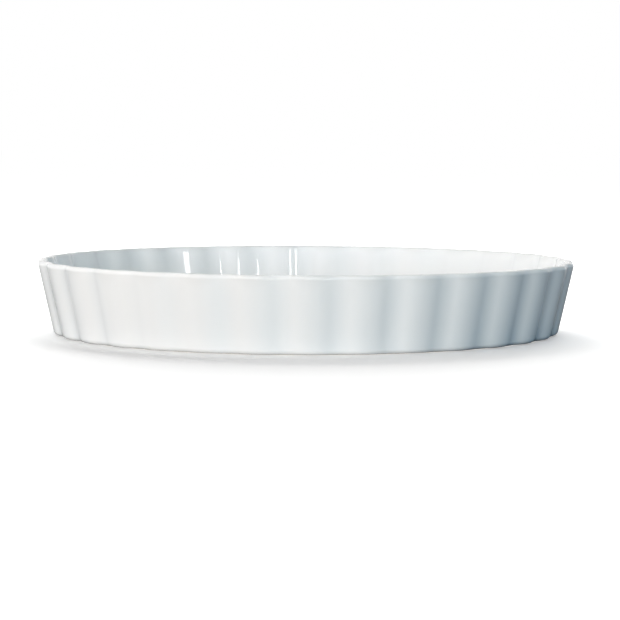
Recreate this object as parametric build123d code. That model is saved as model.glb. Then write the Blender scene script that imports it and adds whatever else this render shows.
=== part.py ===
from build123d import *
import os
from math import atan, atan2, cos, degrees, radians, sin, tan

# Fluted porcelain quiche dish, in millimetres, +Z up.
# The origin is on the table, under the centre of the dish. The middle of a lobe points along -Y.

# Driving sizes of the dish as a whole, taken over the middle of a lobe
overall_height = 41.7
rim_crest_radius = 150.9
base_crest_radius = 141.5

# Flutes: broad convex lobes that run into narrower hollows, as deep inside as outside
flute_count = 32
flute_depth = 2.0
lobe_radius = 28.0

# Wall and floor of the casting
rim_wall = 4.3
base_wall = 5.2
floor_thickness = 4.6
floor_corner_radius = 7.0
base_corner_radius = 3.4

# Lip: rounded over to both sides, which leaves this narrow land on top
lip_land = 0.3

# Foot ring: left bare of glaze, and ground flat after firing, it carries the dish
foot_height = 0.4
foot_width = 5.0
foot_set_in = 0.7
foot_slope_angle = 25.0
foot_bevel = 0.15

# Each rounded edge is this many straight steps
arc_steps = 4

# Sizes that follow from the driving ones
floor_level = foot_height + floor_thickness
half_pitch = 180.0 / flute_count
wall_lean = degrees(atan((rim_crest_radius - base_crest_radius) / (overall_height - foot_height)))


def crest_radius_at(z):
    """Radius of the outer wall over the middle of a lobe, on its straight outward slope."""
    rise_share = (z - foot_height) / (overall_height - foot_height)
    return base_crest_radius + (rim_crest_radius - base_crest_radius) * rise_share


def hollow_radius():
    """Radius at the rim of the hollow between two lobes: tangent to both, and flute_depth inside their crests."""
    lobe_centre = rim_crest_radius - lobe_radius
    valley = rim_crest_radius - flute_depth
    between = lobe_centre * cos(radians(half_pitch))
    upper = lobe_radius**2 - lobe_centre**2 - valley**2 + 2 * valley * between
    return upper / (2 * (valley - between - lobe_radius))


def flute_outline(z, inset):
    """Closed outline of the flutes at the height z, moved inwards by inset: lobes and hollows in turn."""
    size_share = crest_radius_at(z) / rim_crest_radius
    lobe_centre = (rim_crest_radius - lobe_radius) * size_share
    hollow_centre = (rim_crest_radius - flute_depth + hollow_radius()) * size_share
    lobe = lobe_radius * size_share - inset
    hollow = hollow_radius() * size_share + inset
    across = hollow_centre * sin(radians(half_pitch))
    outwards = hollow_centre * cos(radians(half_pitch)) - lobe_centre
    lobe_half = degrees(atan2(across, outwards))
    hollow_half = lobe_half - half_pitch
    arcs = []
    for number in range(flute_count):
        crest = 2 * half_pitch * number - 90
        valley = crest + half_pitch
        lobe_at = Vector(lobe_centre, 0).rotate(Axis.Z, crest)
        hollow_at = Vector(hollow_centre, 0).rotate(Axis.Z, valley)
        arcs.append(CenterArc(lobe_at, lobe, crest - lobe_half, 2 * lobe_half))
        arcs.append(CenterArc(hollow_at, hollow, valley + 180 + hollow_half, -2 * hollow_half))
    return Pos(0, 0, z) * Wire(arcs)


def lip_radius():
    """Radius of the lip's two rounded edges, which take up the top of the wall but for the land between them."""
    outer_share = tan(radians(90 + wall_lean) / 2)
    inner_share = tan(radians(90 - wall_lean) / 2)
    return (rim_wall - lip_land) / (outer_share + inner_share)


def wall_section():
    """Section through the middle of a lobe, radius against height: underside, wall, lip, wall and floor."""
    return FilletPolyline(
        (0, foot_height),
        (base_crest_radius, foot_height),
        (rim_crest_radius, overall_height),
        (rim_crest_radius - rim_wall, overall_height),
        (crest_radius_at(floor_level) - base_wall, floor_level),
        (0, floor_level),
        radius=[base_corner_radius, lip_radius(), lip_radius(), floor_corner_radius],
    )


def fluted_casting():
    """One loft that follows the section from the underside over the lip to the floor, fluted all the way."""
    outlines = []
    for corner in wall_section().edges().filter_by(GeomType.CIRCLE):
        for step in range(arc_steps + 1):
            point = corner @ (step / arc_steps)
            outlines.append(flute_outline(point.Y, crest_radius_at(point.Y) - point.X))
    return Solid.make_loft(outlines, ruled=True)


def foot_ring():
    """Bare ring just inside the rounded corner of the base, wider at its root than where it is ground."""
    outer = base_crest_radius - flute_depth - base_corner_radius - foot_set_in
    inner = outer - foot_width
    spread = foot_height * tan(radians(foot_slope_angle))
    section = Polyline(
        (inner, 0),
        (outer, 0),
        (outer + spread, foot_height),
        (inner - spread, foot_height),
        close=True,
    )
    ring = revolve(Plane.XZ * make_face(section), Axis.Z)
    return chamfer(ring.edges().filter_by_position(Axis.Z, 0, 0), foot_bevel)


os.makedirs("parts", exist_ok=True)
export_step(fluted_casting(), "parts/dish_body.step")
export_step(foot_ring(), "parts/foot_ring.step")
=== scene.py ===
from math import atan, atan2, cos, pi, radians, sin, tan

import bpy
import numpy as np
from mathutils import Matrix, Vector


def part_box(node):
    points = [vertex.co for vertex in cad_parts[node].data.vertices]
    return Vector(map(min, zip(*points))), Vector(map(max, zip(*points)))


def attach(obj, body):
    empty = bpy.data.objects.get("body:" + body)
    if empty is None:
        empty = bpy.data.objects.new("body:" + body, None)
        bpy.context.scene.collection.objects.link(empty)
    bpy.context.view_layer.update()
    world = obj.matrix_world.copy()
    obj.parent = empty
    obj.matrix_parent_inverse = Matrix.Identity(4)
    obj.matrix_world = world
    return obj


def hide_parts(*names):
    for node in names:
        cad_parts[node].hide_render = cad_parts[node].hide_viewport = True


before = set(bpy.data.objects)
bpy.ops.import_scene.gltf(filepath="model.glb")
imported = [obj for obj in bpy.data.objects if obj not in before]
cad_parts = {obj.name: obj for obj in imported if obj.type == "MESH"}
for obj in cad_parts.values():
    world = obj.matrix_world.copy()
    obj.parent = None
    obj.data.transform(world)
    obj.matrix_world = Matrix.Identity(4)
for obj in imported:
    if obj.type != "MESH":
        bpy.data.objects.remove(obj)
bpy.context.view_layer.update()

# A fluted porcelain quiche dish on a white studio table, in metres, +Z up.
# The origin is on the table, under the centre of the dish. The middle of a lobe points along -Y.

mm = 0.001

# Heights and the foot ring's outer radius at its root, from the frame
body_low, body_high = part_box("dish_body")
overall_height = body_high.z
foot_height = body_low.z
foot_root_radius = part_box("foot_ring")[1].x

# Sizes over the middle of a lobe
rim_crest_radius = 150.9 * mm
base_crest_radius = 141.5 * mm

# Flutes
flute_count = 32
flute_depth = 2.0 * mm
lobe_radius = 28.0 * mm

# The mould's inner half sits turned by these degrees, so its flutes lie a little past the outer ones
inner_turn = 1.0

# Wall, floor and lip
rim_wall = 4.3 * mm
base_wall = 5.2 * mm
floor_thickness = 4.6 * mm
floor_corner_radius = 7.0 * mm
base_corner_radius = 3.4 * mm
lip_land = 0.3 * mm

# Foot ring
foot_width = 5.0 * mm
foot_slope_angle = 25.0
foot_bevel = 0.15 * mm

# How the kiln leaves it: the rim a little small and lowest towards +X, the floor a little raised
firing_shrink = 0.05 * mm
out_of_level = 0.40 * mm
floor_crown = 0.25 * mm

# Slower waves in the rim's height: how many, their share of the tilt and where they start, in radians
rim_waves = 3
rim_wave_share = 0.1
rim_wave_start = 2.0

# Ripple in the wall: two sets of upright waves, how many round the dish and their lean, in radians
ripple_depth = 0.012 * mm
ripple_waves = (17, 5)
ripple_leans = (6.0, 4.1)

# Nearer to the axis than this, points move inwards less and less
calm_radius = 5.2 * mm

# Fineness of the mesh: points round each flute and round the foot, and rings along the sections
points_per_flute = 24
foot_points = flute_count * points_per_flute // 2
corner_rings = 8
lip_rings = 10
floor_corner_rings = 16
wall_rings = 18
flat_rings = 22
foot_side_rings = 4
foot_face_rings = 12

# How deep the glaze lies, from -1 where it is thinnest to 1 where it gathers most
base_corner_glaze = 0.2
wall_glaze = 0.0
# The lip's thin glaze also carries painted shade: its grey darkens the top of the lip
lip_glaze = -1.0
floor_corner_glaze = 1.0

# So many passes even that out along the section. A hollow then adds so much, and a crest takes it off
glaze_passes = 3
hollow_glaze = 0.35

# Sizes that follow
floor_level = foot_height + floor_thickness
half_pitch = pi / flute_count
wall_lean = atan((rim_crest_radius - base_crest_radius) / (overall_height - foot_height))


def crest_radius_at(z):
    """Radius of the outer wall over the middle of a lobe, on its straight outward slope."""
    rise_share = (z - foot_height) / (overall_height - foot_height)
    return base_crest_radius + (rim_crest_radius - base_crest_radius) * rise_share


def hollow_radius():
    """Radius at the rim of a hollow: tangent to both lobes, and flute_depth inside their crests."""
    lobe_centre = rim_crest_radius - lobe_radius
    valley = rim_crest_radius - flute_depth
    between = lobe_centre * cos(half_pitch)
    upper = lobe_radius**2 - lobe_centre**2 - valley**2 + 2 * valley * between
    return upper / (2 * (valley - between - lobe_radius))


def flute_radii(z, inset, angles):
    """Radius of the fluted outline at a height, moved inwards by inset, at angles from a crest."""
    size_share = crest_radius_at(z) / rim_crest_radius
    lobe_centre = (rim_crest_radius - lobe_radius) * size_share
    hollow_centre = (rim_crest_radius - flute_depth + hollow_radius()) * size_share
    lobe = lobe_radius * size_share - inset
    hollow = hollow_radius() * size_share + inset
    across = hollow_centre * sin(half_pitch)
    outwards = hollow_centre * cos(half_pitch) - lobe_centre
    lobe_half = atan2(across, outwards)
    junction = atan2(lobe * sin(lobe_half), lobe_centre + lobe * cos(lobe_half))
    from_crest = np.abs((angles + half_pitch) % (2 * half_pitch) - half_pitch)
    from_valley = half_pitch - from_crest
    lobe_side = lobe_centre * np.sin(from_crest)
    hollow_side = hollow_centre * np.sin(from_valley)
    on_lobe = lobe_centre * np.cos(from_crest) + np.sqrt(np.maximum(lobe**2 - lobe_side**2, 0))
    on_hollow = hollow_centre * np.cos(from_valley)
    on_hollow = on_hollow - np.sqrt(np.maximum(hollow**2 - hollow_side**2, 0))
    return np.where(from_crest <= junction, on_lobe, on_hollow)


def rounded(before, corner, after, radius, rings):
    """Points (radius, height) of the arc that rounds a corner between two straights of a section."""
    corner = np.array(corner)
    back = np.array(before) - corner
    on = np.array(after) - corner
    back = back / np.linalg.norm(back)
    on = on / np.linalg.norm(on)
    half = np.arccos(np.clip(back @ on, -1, 1)) / 2
    middle = (back + on) / np.linalg.norm(back + on)
    centre = corner + middle * radius / np.sin(half)
    start = corner + back * radius / np.tan(half) - centre
    end = corner + on * radius / np.tan(half) - centre
    turn = np.arctan2(start[0] * end[1] - start[1] * end[0], start @ end)
    points = []
    for share in np.linspace(0, 1, rings + 1):
        angle = turn * share
        x = start[0] * np.cos(angle) - start[1] * np.sin(angle)
        y = start[0] * np.sin(angle) + start[1] * np.cos(angle)
        points.append(centre + np.array([x, y]))
    return points


def straight(start, end, rings):
    """Points between two points of a section, without the two themselves."""
    return [start + (end - start) * step / rings for step in range(1, rings)]


def lip_radius():
    """Radius of the lip's two rounded edges, which take up the wall's top but for the land."""
    outer_share = tan((pi / 2 + wall_lean) / 2)
    inner_share = tan((pi / 2 - wall_lean) / 2)
    return (rim_wall - lip_land) / (outer_share + inner_share)


def section():
    """The section over a lobe, from the underside to the floor: its points and the glaze's depths."""
    underside = (0, foot_height)
    base_corner = (base_crest_radius, foot_height)
    rim_outside = (rim_crest_radius, overall_height)
    rim_inside = (rim_crest_radius - rim_wall, overall_height)
    floor_corner = (crest_radius_at(floor_level) - base_wall, floor_level)
    floor_middle = (0, floor_level)
    base_arc = rounded(underside, base_corner, rim_outside, base_corner_radius, corner_rings)
    outer_lip = rounded(base_corner, rim_outside, rim_inside, lip_radius(), lip_rings)
    inner_lip = rounded(rim_outside, rim_inside, floor_corner, lip_radius(), lip_rings)
    floor_arc = rounded(rim_inside, floor_corner, floor_middle, floor_corner_radius, floor_corner_rings)
    stretches = [
        (base_arc, base_corner_glaze),
        (straight(base_arc[-1], outer_lip[0], wall_rings), wall_glaze),
        (outer_lip, lip_glaze),
        (inner_lip, lip_glaze),
        (straight(inner_lip[-1], floor_arc[0], wall_rings), wall_glaze),
        (floor_arc, floor_corner_glaze),
    ]
    points = np.array([point for stretch, _ in stretches for point in stretch])
    depths = np.array([depth for stretch, depth in stretches for _ in stretch])
    for _ in range(glaze_passes):
        depths[1:-1] = (depths[:-2] + 2 * depths[1:-1] + depths[2:]) / 4
    return points, depths


def fluted_rings(angles):
    """A ring for each point of the section, at those angles from +X, and the glaze's depths on it."""
    profile, section_depths = section()
    lip_at = int(np.argmax(profile[:, 1]))
    rings = []
    depths = []
    for number, (radius, height) in enumerate(profile):
        past_lip = np.clip((number - lip_at + lip_rings) / (2 * lip_rings), 0, 1)
        turned = angles + pi / 2 + radians(inner_turn) * past_lip
        radii = flute_radii(height, crest_radius_at(height) - radius, turned)
        heights = np.full(len(angles), height)
        rings.append(np.stack([radii * np.cos(angles), radii * np.sin(angles), heights], axis=1))
        outwards = 1 if number < lip_at else -1
        in_hollow = -np.cos(flute_count * turned) * outwards
        depths.append(np.clip(section_depths[number] + hollow_glaze * in_hollow, -1, 1))
    return rings, depths


def towards_axis(ring, crown):
    """Ever smaller copies of a ring on its way to the axis, where they have risen by crown."""
    copies = []
    for step in range(flat_rings - 1, 0, -1):
        share = step / flat_rings
        smaller = ring.copy()
        smaller[:, :2] *= share
        smaller[:, 2] += crown * (1 - share**2) ** 2
        copies.append(smaller)
    return copies


def kiln_warp(points):
    """Moves points by the lack of truth that firing leaves, always inwards or down at the rim."""
    x, y, z = points[..., 0], points[..., 1], points[..., 2]
    angle = np.arctan2(y, x)
    rise_share = np.clip((z - foot_height) / (overall_height - foot_height), 0, 1)
    waves = 1 + np.cos(rim_waves * angle + rim_wave_start)
    drop = out_of_level * (1 + np.cos(angle) + rim_wave_share * waves)
    ripple = 1
    for count, lean in zip(ripple_waves, ripple_leans):
        ripple = ripple * np.sin(count * angle + lean * z / overall_height)
    move = -(firing_shrink + ripple_depth * (1 + ripple)) * rise_share
    size_share = 1 + move / np.maximum(np.hypot(x, y), calm_radius)
    return np.stack([x * size_share, y * size_share, z - drop * rise_share**2], axis=-1)


def mesh_object(name, points, faces, material):
    """A smooth mesh object with that one material."""
    mesh = bpy.data.meshes.new(name)
    mesh.from_pydata([tuple(point) for point in points], [], faces)
    mesh.shade_smooth()
    mesh.materials.append(material)
    mesh.update()
    piece = bpy.data.objects.new(name, mesh)
    bpy.context.scene.collection.objects.link(piece)
    return piece


def ring_faces(first, second, count):
    """The band of four-sided faces between two rings of the mesh, each of so many points."""
    faces = []
    for here in range(count):
        there = (here + 1) % count
        faces.append((first + here, first + there, second + there, second + here))
    return faces


def glazed_body(material):
    """The casting under its glaze: the fluted rings, closed on the axis above and below."""
    count = flute_count * points_per_flute
    rings, depths = fluted_rings(np.arange(count) * 2 * pi / count)
    underside = towards_axis(rings[0], 0)
    floor = towards_axis(rings[-1], floor_crown)
    grid = kiln_warp(np.array(underside[::-1] + rings + floor))
    points = [(0, 0, foot_height)]
    points.extend(grid.reshape(-1, 3))
    points.append((0, 0, floor_level + floor_crown))
    faces = []
    for here in range(count):
        faces.append((0, 1 + (here + 1) % count, 1 + here))
    for number in range(len(grid) - 1):
        faces.extend(ring_faces(1 + number * count, 1 + (number + 1) * count, count))
    last = 1 + (len(grid) - 1) * count
    for here in range(count):
        faces.append((len(points) - 1, last + here, last + (here + 1) % count))
    piece = mesh_object("glazed_body", points, faces, material)
    flat = np.zeros(1 + (flat_rings - 1) * count)
    values = np.concatenate([flat, *depths, flat])
    attribute = piece.data.attributes.new("glaze_depth", "FLOAT", "POINT")
    attribute.data.foreach_set("value", values.astype(np.float32))
    return piece


def bare_foot(material):
    """The foot ring, ground flat below with worn corners."""
    spread = foot_height * tan(radians(foot_slope_angle))
    outer = foot_root_radius - spread
    inner = outer - foot_width
    inner_root = np.array([inner - spread, foot_height])
    outer_root = np.array([outer + spread, foot_height])
    inner_corner = rounded(inner_root, (inner, 0), (outer, 0), foot_bevel, corner_rings)
    outer_corner = rounded((inner, 0), (outer, 0), outer_root, foot_bevel, corner_rings)
    profile = [inner_root]
    profile.extend(straight(inner_root, inner_corner[0], foot_side_rings))
    profile.extend(inner_corner)
    profile.extend(straight(inner_corner[-1], outer_corner[0], foot_face_rings))
    profile.extend(outer_corner)
    profile.extend(straight(outer_corner[-1], outer_root, foot_side_rings))
    profile.append(outer_root)
    angles = np.arange(foot_points) * 2 * pi / foot_points
    points = []
    for radius, height in profile:
        for angle in angles:
            points.append((radius * cos(angle), radius * sin(angle), height))
    faces = []
    for number in range(len(profile)):
        following = (number + 1) % len(profile)
        faces.extend(ring_faces(number * foot_points, following * foot_points, foot_points))
    return mesh_object("bare_foot_ring", points, faces, material)


def new_material(name):
    """An empty node material, with its node and link lists and its surface output."""
    material = bpy.data.materials.new(name)
    material.use_nodes = True
    tree = material.node_tree
    tree.nodes.clear()
    output = tree.nodes.new("ShaderNodeOutputMaterial")
    return material, tree.nodes, tree.links, output


def noise(nodes, links, coordinates, scale, detail, roughness=0.5):
    """A noise texture over those coordinates, at so many waves per metre."""
    texture = nodes.new("ShaderNodeTexNoise")
    texture.inputs["Scale"].default_value = scale
    texture.inputs["Detail"].default_value = detail
    texture.inputs["Roughness"].default_value = roughness
    links.new(coordinates, texture.inputs["Vector"])
    return texture.outputs["Fac"]


def ranged(nodes, links, value, before, after):
    """The value moved from one range to another and held within it."""
    node = nodes.new("ShaderNodeMapRange")
    for socket, number in zip(("From Min", "From Max", "To Min", "To Max"), (*before, *after)):
        node.inputs[socket].default_value = number
    links.new(value, node.inputs["Value"])
    return node.outputs["Result"]


def mixed(nodes, links, factor, first, second):
    """A colour between two: each is a colour, or the output of another node."""
    node = nodes.new("ShaderNodeMix")
    node.data_type = "RGBA"
    links.new(factor, node.inputs["Factor"])
    for side, colour in (("A", first), ("B", second)):
        socket = [entry for entry in node.inputs if entry.name == side and entry.type == "RGBA"][0]
        if isinstance(colour, tuple):
            socket.default_value = (*colour, 1)
        else:
            links.new(colour, socket)
    return [entry for entry in node.outputs if entry.type == "RGBA"][0]


def combined(nodes, links, operation, first, second):
    """Two values put together by that operation of the Math node."""
    node = nodes.new("ShaderNodeMath")
    node.operation = operation
    links.new(first, node.inputs[0])
    links.new(second, node.inputs[1])
    return node.outputs[0]


def ray_is(nodes, links, *kinds):
    """One where a ray is of one of those kinds, and otherwise none."""
    rays = nodes.new("ShaderNodeLightPath")
    either = rays.outputs[kinds[0]]
    for kind in kinds[1:]:
        either = combined(nodes, links, "MAXIMUM", either, rays.outputs[kind])
    return either


def bump(nodes, links, height, distance, normal=None):
    """A bump of that depth in metres, over another normal if one is given."""
    node = nodes.new("ShaderNodeBump")
    node.inputs["Strength"].default_value = 1.0
    node.inputs["Distance"].default_value = distance
    links.new(height, node.inputs["Height"])
    if normal is not None:
        links.new(normal, node.inputs["Normal"])
    return node.outputs["Normal"]


# Glaze: its two cloudy whites, the cool white where it gathers and the grey one where it is thin, which
# on the lip is partly painted shade that darkens its top
glaze_whites = ((0.842, 0.852, 0.852), (0.856, 0.860, 0.856))
cloud_noise = (18, 3)
cloud_range = (0.35, 0.65)
gathered_colour = (0.800, 0.828, 0.838)
gathered_depths = (0.1, 1.0)
gathered_share = 0.5
thin_glaze_and_shade_colour = (0.778, 0.776, 0.766)
thin_glaze_and_shade_depths = (-0.25, -1.0)
thin_glaze_and_shade_share = 0.6

# Its gloss, and the slow waves and fine peel of its surface
glaze_ior = 1.5
gloss_noise = (60, 4)
gloss_range = (0.3, 0.7)
roughness_range = (0.015, 0.045)
wave_noise = (70, 2)
wave_height = 0.02 * mm
peel_noise = (420, 2)
peel_height = 0.0012 * mm


def glaze():
    """Gloss white glaze over porcelain: thin and greyer on edges, partly as painted shade on the lip, and
    cooler where it gathered.
    """
    material, nodes, links, output = new_material("gloss_white_glaze")
    shader = nodes.new("ShaderNodeBsdfPrincipled")
    place = nodes.new("ShaderNodeTexCoord").outputs["Object"]
    attribute = nodes.new("ShaderNodeAttribute")
    attribute.attribute_name = "glaze_depth"
    depth = attribute.outputs["Fac"]
    clouds = ranged(nodes, links, noise(nodes, links, place, *cloud_noise), cloud_range, (0, 1))
    body = mixed(nodes, links, clouds, *glaze_whites)
    thick = ranged(nodes, links, depth, gathered_depths, (0, gathered_share))
    # Thin glaze, and painted shade on the lip: greyer where the glaze depth is low
    thin_glaze_and_shade = ranged(nodes, links, depth, thin_glaze_and_shade_depths, (0, thin_glaze_and_shade_share))
    pooled = mixed(nodes, links, thick, body, gathered_colour)
    links.new(mixed(nodes, links, thin_glaze_and_shade, pooled, thin_glaze_and_shade_colour), shader.inputs["Base Color"])
    gloss = noise(nodes, links, place, *gloss_noise)
    links.new(ranged(nodes, links, gloss, gloss_range, roughness_range), shader.inputs["Roughness"])
    shader.inputs["IOR"].default_value = glaze_ior
    waves = bump(nodes, links, noise(nodes, links, place, *wave_noise), wave_height)
    peel = bump(nodes, links, noise(nodes, links, place, *peel_noise), peel_height, waves)
    links.new(peel, shader.inputs["Normal"])
    links.new(shader.outputs["BSDF"], output.inputs["Surface"])
    return material


# Bare clay: two tones in its grit, and darker marks left by tables and oven racks
clay_roughness = 0.85
clay_tones = ((0.74, 0.70, 0.63), (0.83, 0.81, 0.76))
grit_noise = (2600, 3, 0.6)
grit_range = (0.3, 0.7)
grit_height = 0.05 * mm
mark_colour = (0.50, 0.45, 0.38)
mark_noise = (55, 5, 0.6)
mark_range = (0.55, 0.8)
mark_share = 0.55


def bare_clay():
    """Unglazed porcelain, ground flat: matte, gritty and a little marked."""
    material, nodes, links, output = new_material("ground_bare_porcelain")
    shader = nodes.new("ShaderNodeBsdfPrincipled")
    place = nodes.new("ShaderNodeTexCoord").outputs["Object"]
    grit = noise(nodes, links, place, *grit_noise)
    stains = noise(nodes, links, place, *mark_noise)
    body = mixed(nodes, links, ranged(nodes, links, grit, grit_range, (0, 1)), *clay_tones)
    marks = ranged(nodes, links, stains, mark_range, (0, mark_share))
    links.new(mixed(nodes, links, marks, body, mark_colour), shader.inputs["Base Color"])
    shader.inputs["Roughness"].default_value = clay_roughness
    links.new(bump(nodes, links, grit, grit_height), shader.inputs["Normal"])
    links.new(shader.outputs["BSDF"], output.inputs["Surface"])
    return material


# The table, and its colour to the camera, to rays scattered by the dish and to mirrored ones
floor_radius = 8.0
floor_sides = 96
table_gap = 0.05 * mm
floor_colour = (0.88, 0.88, 0.875)
floor_bounce_colour = (0.17, 0.135, 0.09)
floor_gloss_colour = (0.18, 0.18, 0.18)

# Light added to what shows of it, from this near the axis to this far, so that it fades to pure white
lift_range = (0.25, 0.9)
seen_lift = (0.40, 1.0)
mirrored_lift = (0.0, 1.0)

# Glow that only scattered rays find: round the base, out to these radii and fading over this stretch of X
contact_range = (0.146, 0.152)
contact_glow = 0.35
sunny_range = (0.02, 0.09)

# The same under the dish, out to these radii, so that its underside can be seen
under_range = (0.1358, 0.1368)
under_glow = 0.80


def table_glow(nodes, links, place, away):
    """What the table glows with round the base and under the dish, for rays that scattered."""
    split = nodes.new("ShaderNodeSeparateXYZ")
    links.new(place, split.inputs["Vector"])
    near = ranged(nodes, links, away, contact_range, (contact_glow, 0))
    sunny = ranged(nodes, links, split.outputs["X"], sunny_range, (1, 0))
    around = combined(nodes, links, "MULTIPLY", near, sunny)
    under = ranged(nodes, links, away, under_range, (under_glow, 0))
    glow = combined(nodes, links, "MAXIMUM", around, under)
    return combined(nodes, links, "MULTIPLY", ray_is(nodes, links, "Is Diffuse Ray"), glow)


def table_surface():
    """White that keeps the dish's shadow, fades to pure white further out and is clear from below."""
    material, nodes, links, output = new_material("white_table")
    place = nodes.new("ShaderNodeTexCoord").outputs["Object"]
    length = nodes.new("ShaderNodeVectorMath")
    length.operation = "LENGTH"
    links.new(place, length.inputs[0])
    away = length.outputs["Value"]
    by_camera = ray_is(nodes, links, "Is Camera Ray")
    in_gloss = ray_is(nodes, links, "Is Glossy Ray", "Is Transmission Ray")
    unseen = mixed(nodes, links, in_gloss, floor_bounce_colour, floor_gloss_colour)
    diffuse = nodes.new("ShaderNodeBsdfDiffuse")
    links.new(mixed(nodes, links, by_camera, unseen, floor_colour), diffuse.inputs["Color"])
    seen = ranged(nodes, links, away, lift_range, seen_lift)
    mirrored = ranged(nodes, links, away, lift_range, mirrored_lift)
    seen = combined(nodes, links, "MULTIPLY", by_camera, seen)
    mirrored = combined(nodes, links, "MULTIPLY", in_gloss, mirrored)
    shown = combined(nodes, links, "ADD", seen, mirrored)
    strength = combined(nodes, links, "ADD", shown, table_glow(nodes, links, place, away))
    emission = nodes.new("ShaderNodeEmission")
    links.new(strength, emission.inputs["Strength"])
    added = nodes.new("ShaderNodeAddShader")
    links.new(diffuse.outputs["BSDF"], added.inputs[0])
    links.new(emission.outputs["Emission"], added.inputs[1])
    clear = nodes.new("ShaderNodeBsdfTransparent")
    backfacing = nodes.new("ShaderNodeNewGeometry").outputs["Backfacing"]
    from_below = combined(nodes, links, "MULTIPLY", backfacing, by_camera)
    either = nodes.new("ShaderNodeMixShader")
    links.new(from_below, either.inputs["Fac"])
    links.new(added.outputs["Shader"], either.inputs[1])
    links.new(clear.outputs["BSDF"], either.inputs[2])
    links.new(either.outputs["Shader"], output.inputs["Surface"])
    return material


def white_table():
    """The round white floor that the dish stands on."""
    points = []
    for side in range(floor_sides):
        angle = 2 * pi * side / floor_sides
        points.append((floor_radius * cos(angle), floor_radius * sin(angle), -table_gap))
    floor = mesh_object("white_table", points, [tuple(range(floor_sides))], table_surface())
    return floor


# Plain white, for the world and for the lamps that have no tint
white = (1.0, 1.0, 1.0)


def white_world():
    """White to the eye and in gloss, and dark to all other rays, so that only the lamps give light."""
    world = bpy.data.worlds.new("white_studio")
    bpy.context.scene.world = world
    world.use_nodes = True
    nodes, links = world.node_tree.nodes, world.node_tree.links
    nodes.clear()
    output = nodes.new("ShaderNodeOutputWorld")
    background = nodes.new("ShaderNodeBackground")
    background.inputs["Color"].default_value = (*white, 1)
    seen = ray_is(nodes, links, "Is Camera Ray", "Is Glossy Ray", "Is Transmission Ray")
    links.new(seen, background.inputs["Strength"])
    links.new(background.outputs["Background"], output.inputs["Surface"])


# Lamps stand this far from the dish. Angles are in degrees, and azimuth 0 is on -Y and 90 on +X.
lamp_distance = 1.6

# Soft panels of one size. Most numbers in the two lists below were solved for by scratch programs, as a
# fit to the photograph's brightness, and then rounded: they weren't set by eye as studio lamps are.
# Those for the dish: name, azimuth, elevation, radiance and colour
panel_size = (0.8, 0.56)
dish_panels = [
    ("front_low", -15, 8, 10.7, (1.00, 0.965, 0.855)),
    ("left_front_low", -45, 8, 7.7, (0.86, 0.88, 1.00)),
    ("left_high", -75, 50, 4.0, (1.00, 0.915, 0.93)),
    ("left_low", -105, 8, 4.1, (0.79, 0.98, 1.00)),
    ("left_back_low", -135, 8, 1.9, (0.93, 1.00, 0.99)),
    ("back_low", 177, 8, 9.5, (0.93, 0.98, 1.00)),
    ("right_low", 45, 8, 5.0, (0.32, 0.62, 1.00)),
    ("right_middle", 45, 28, 0.80, (0.75, 1.00, 0.40)),
    ("back_right", 165, 28, 0.60, (0.92, 1.00, 0.98)),
    ("back_high_right", 165, 50, 2.7, (1.00, 0.98, 0.93)),
    ("back_high_left", -165, 50, 5.0, (1.00, 0.98, 0.93)),
]

# White ones for the table: name, azimuth, elevation and radiance
table_panels = [
    ("table_back_high_right", 165, 50, 4.1),
    ("table_back_high_left", -165, 50, 6.3),
    ("table_back_left", -165, 28, 8.3),
    ("table_back_right", 165, 28, 6.6),
    ("table_top", 135, 72, 4.0),
]

# A narrow window, mirrored as the upright streaks on the inner wall
window_azimuth = 32.3
window_elevation = 22.75
window_size = (0.11, 0.25)
window_radiance = 14.0

# A low strip of light on the left, for the foot of the wall
skirt_azimuth = -112
skirt_elevation = 0.8
skirt_size = (0.8, 0.045)
skirt_radiance = 16.0


def lit_group(name, pieces):
    """The pieces that a lamp can be kept to."""
    group = bpy.data.collections.new(name)
    for piece in pieces:
        group.objects.link(piece)
    return group


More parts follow.
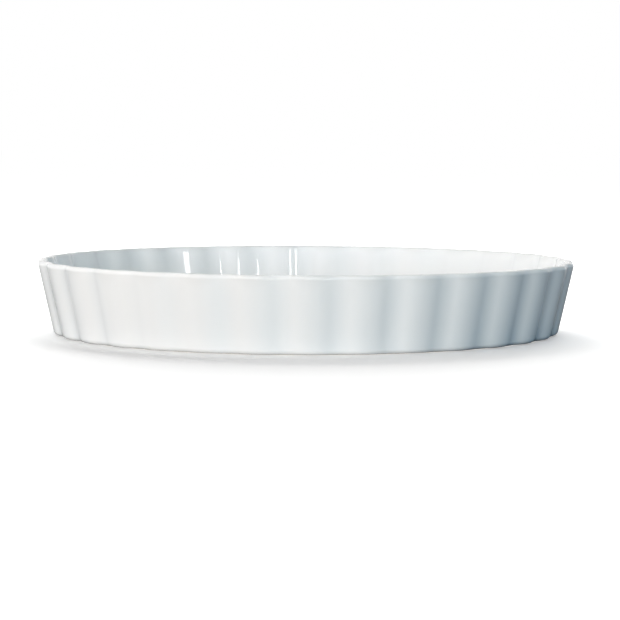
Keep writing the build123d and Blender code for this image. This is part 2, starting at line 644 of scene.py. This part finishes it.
def lamp(name, azimuth, elevation, size, radiance, colour, group):
    """A soft rectangular lamp of that width and height, which faces the dish and lights the group."""
    width, height = size
    data = bpy.data.lights.new(name, "AREA")
    data.shape = "RECTANGLE"
    data.size = width
    data.size_y = height
    data.color = colour
    data.energy = radiance * pi * width * height
    piece = bpy.data.objects.new(name, data)
    bpy.context.scene.collection.objects.link(piece)
    around, up = radians(azimuth), radians(elevation)
    towards = Vector((sin(around) * cos(up), -cos(around) * cos(up), sin(up)))
    piece.location = towards * lamp_distance
    piece.rotation_euler = towards.to_track_quat("Z", "Y").to_euler()
    piece.visible_camera = False
    piece.light_linking.receiver_collection = group
    return piece


def studio_lamps(dish_group, table_group):
    """Every lamp. Of those that light the dish, only the window is mirrored in its glaze."""
    for name, azimuth, elevation, radiance, colour in dish_panels:
        panel = lamp(name, azimuth, elevation, panel_size, radiance, colour, dish_group)
        panel.visible_glossy = False
    for name, azimuth, elevation, radiance in table_panels:
        lamp(name, azimuth, elevation, panel_size, radiance, white, table_group)
    window = (window_azimuth, window_elevation, window_size, window_radiance)
    lamp("front_window", *window, white, dish_group)
    strip = (skirt_azimuth, skirt_elevation, skirt_size, skirt_radiance)
    skirt = lamp("left_skirt", *strip, white, dish_group)
    skirt.visible_glossy = False


# Camera, as fitted to the outlines of the rim and the base in the photograph. Angles are in degrees,
# and the lens and the sensor in millimetres.
camera_distance = 1316.1 * mm
camera_side = 2.44 * mm
camera_height = 116.04 * mm
camera_pitch = -4.504
camera_roll = 0.13
lens_length = 135.91
sensor_width = 36.0
clip_near = 0.05
clip_far = 40.0

# The dish in the photograph is turned by these degrees about its axis: here the camera goes round it
dish_turn = 1.2


def photograph_camera():
    """The camera in the photograph's place."""
    data = bpy.data.cameras.new("camera")
    data.sensor_width = sensor_width
    data.lens = lens_length
    data.clip_start = clip_near
    data.clip_end = clip_far
    camera = bpy.data.objects.new("camera", data)
    bpy.context.scene.collection.objects.link(camera)
    turn = Matrix.Rotation(radians(-dish_turn), 4, "Z")
    place = Matrix.Translation((camera_side, -camera_distance, camera_height))
    tilt = Matrix.Rotation(radians(90 + camera_pitch), 4, "X")
    roll = Matrix.Rotation(radians(camera_roll), 4, "Z")
    camera.matrix_world = turn @ place @ tilt @ roll
    bpy.context.scene.camera = camera


photograph_camera()
white_world()
table = white_table()

body = glazed_body(glaze())
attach(body, "root")
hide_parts("dish_body")

foot = bare_foot(bare_clay())
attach(foot, "root")
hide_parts("foot_ring")

studio_lamps(lit_group("dish_pieces", [body, foot]), lit_group("table_pieces", [table]))

bpy.context.scene.view_settings.view_transform = "Standard"
